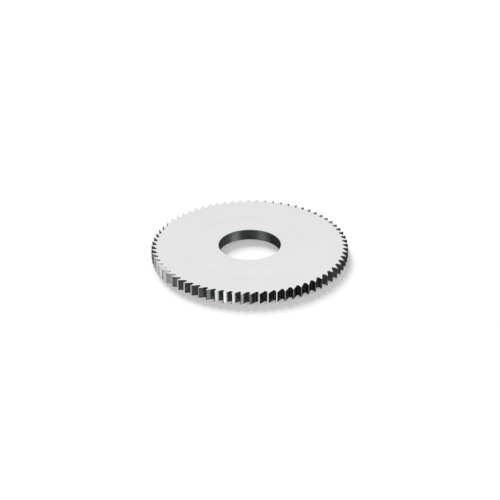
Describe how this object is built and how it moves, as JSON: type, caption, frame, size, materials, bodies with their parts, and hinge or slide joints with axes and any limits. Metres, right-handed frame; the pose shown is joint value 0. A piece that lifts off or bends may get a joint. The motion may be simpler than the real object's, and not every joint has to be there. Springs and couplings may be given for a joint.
{
  "type": "slitting saw",
  "caption": "Slitting saw: a thin ground disc with a plain bore, fine angular teeth round its rim and hollow-ground sides, for cutting narrow slots on a milling arbor.",
  "frame": {"origin": "centre of the bore, on the lower side of the blade", "axes": "+Z along the bore axis, out of the upper side; +X through a tooth tip; seen from +Z the cutting faces look clockwise"},
  "size_m": [0.07, 0.07, 0.004],
  "materials": {
    "ground_metal": "hard metal, finely ground to a near mirror"
  },
  "bodies": {
    "root": {"saw_blade": "ground_metal"}
  },
  "joints": []
}
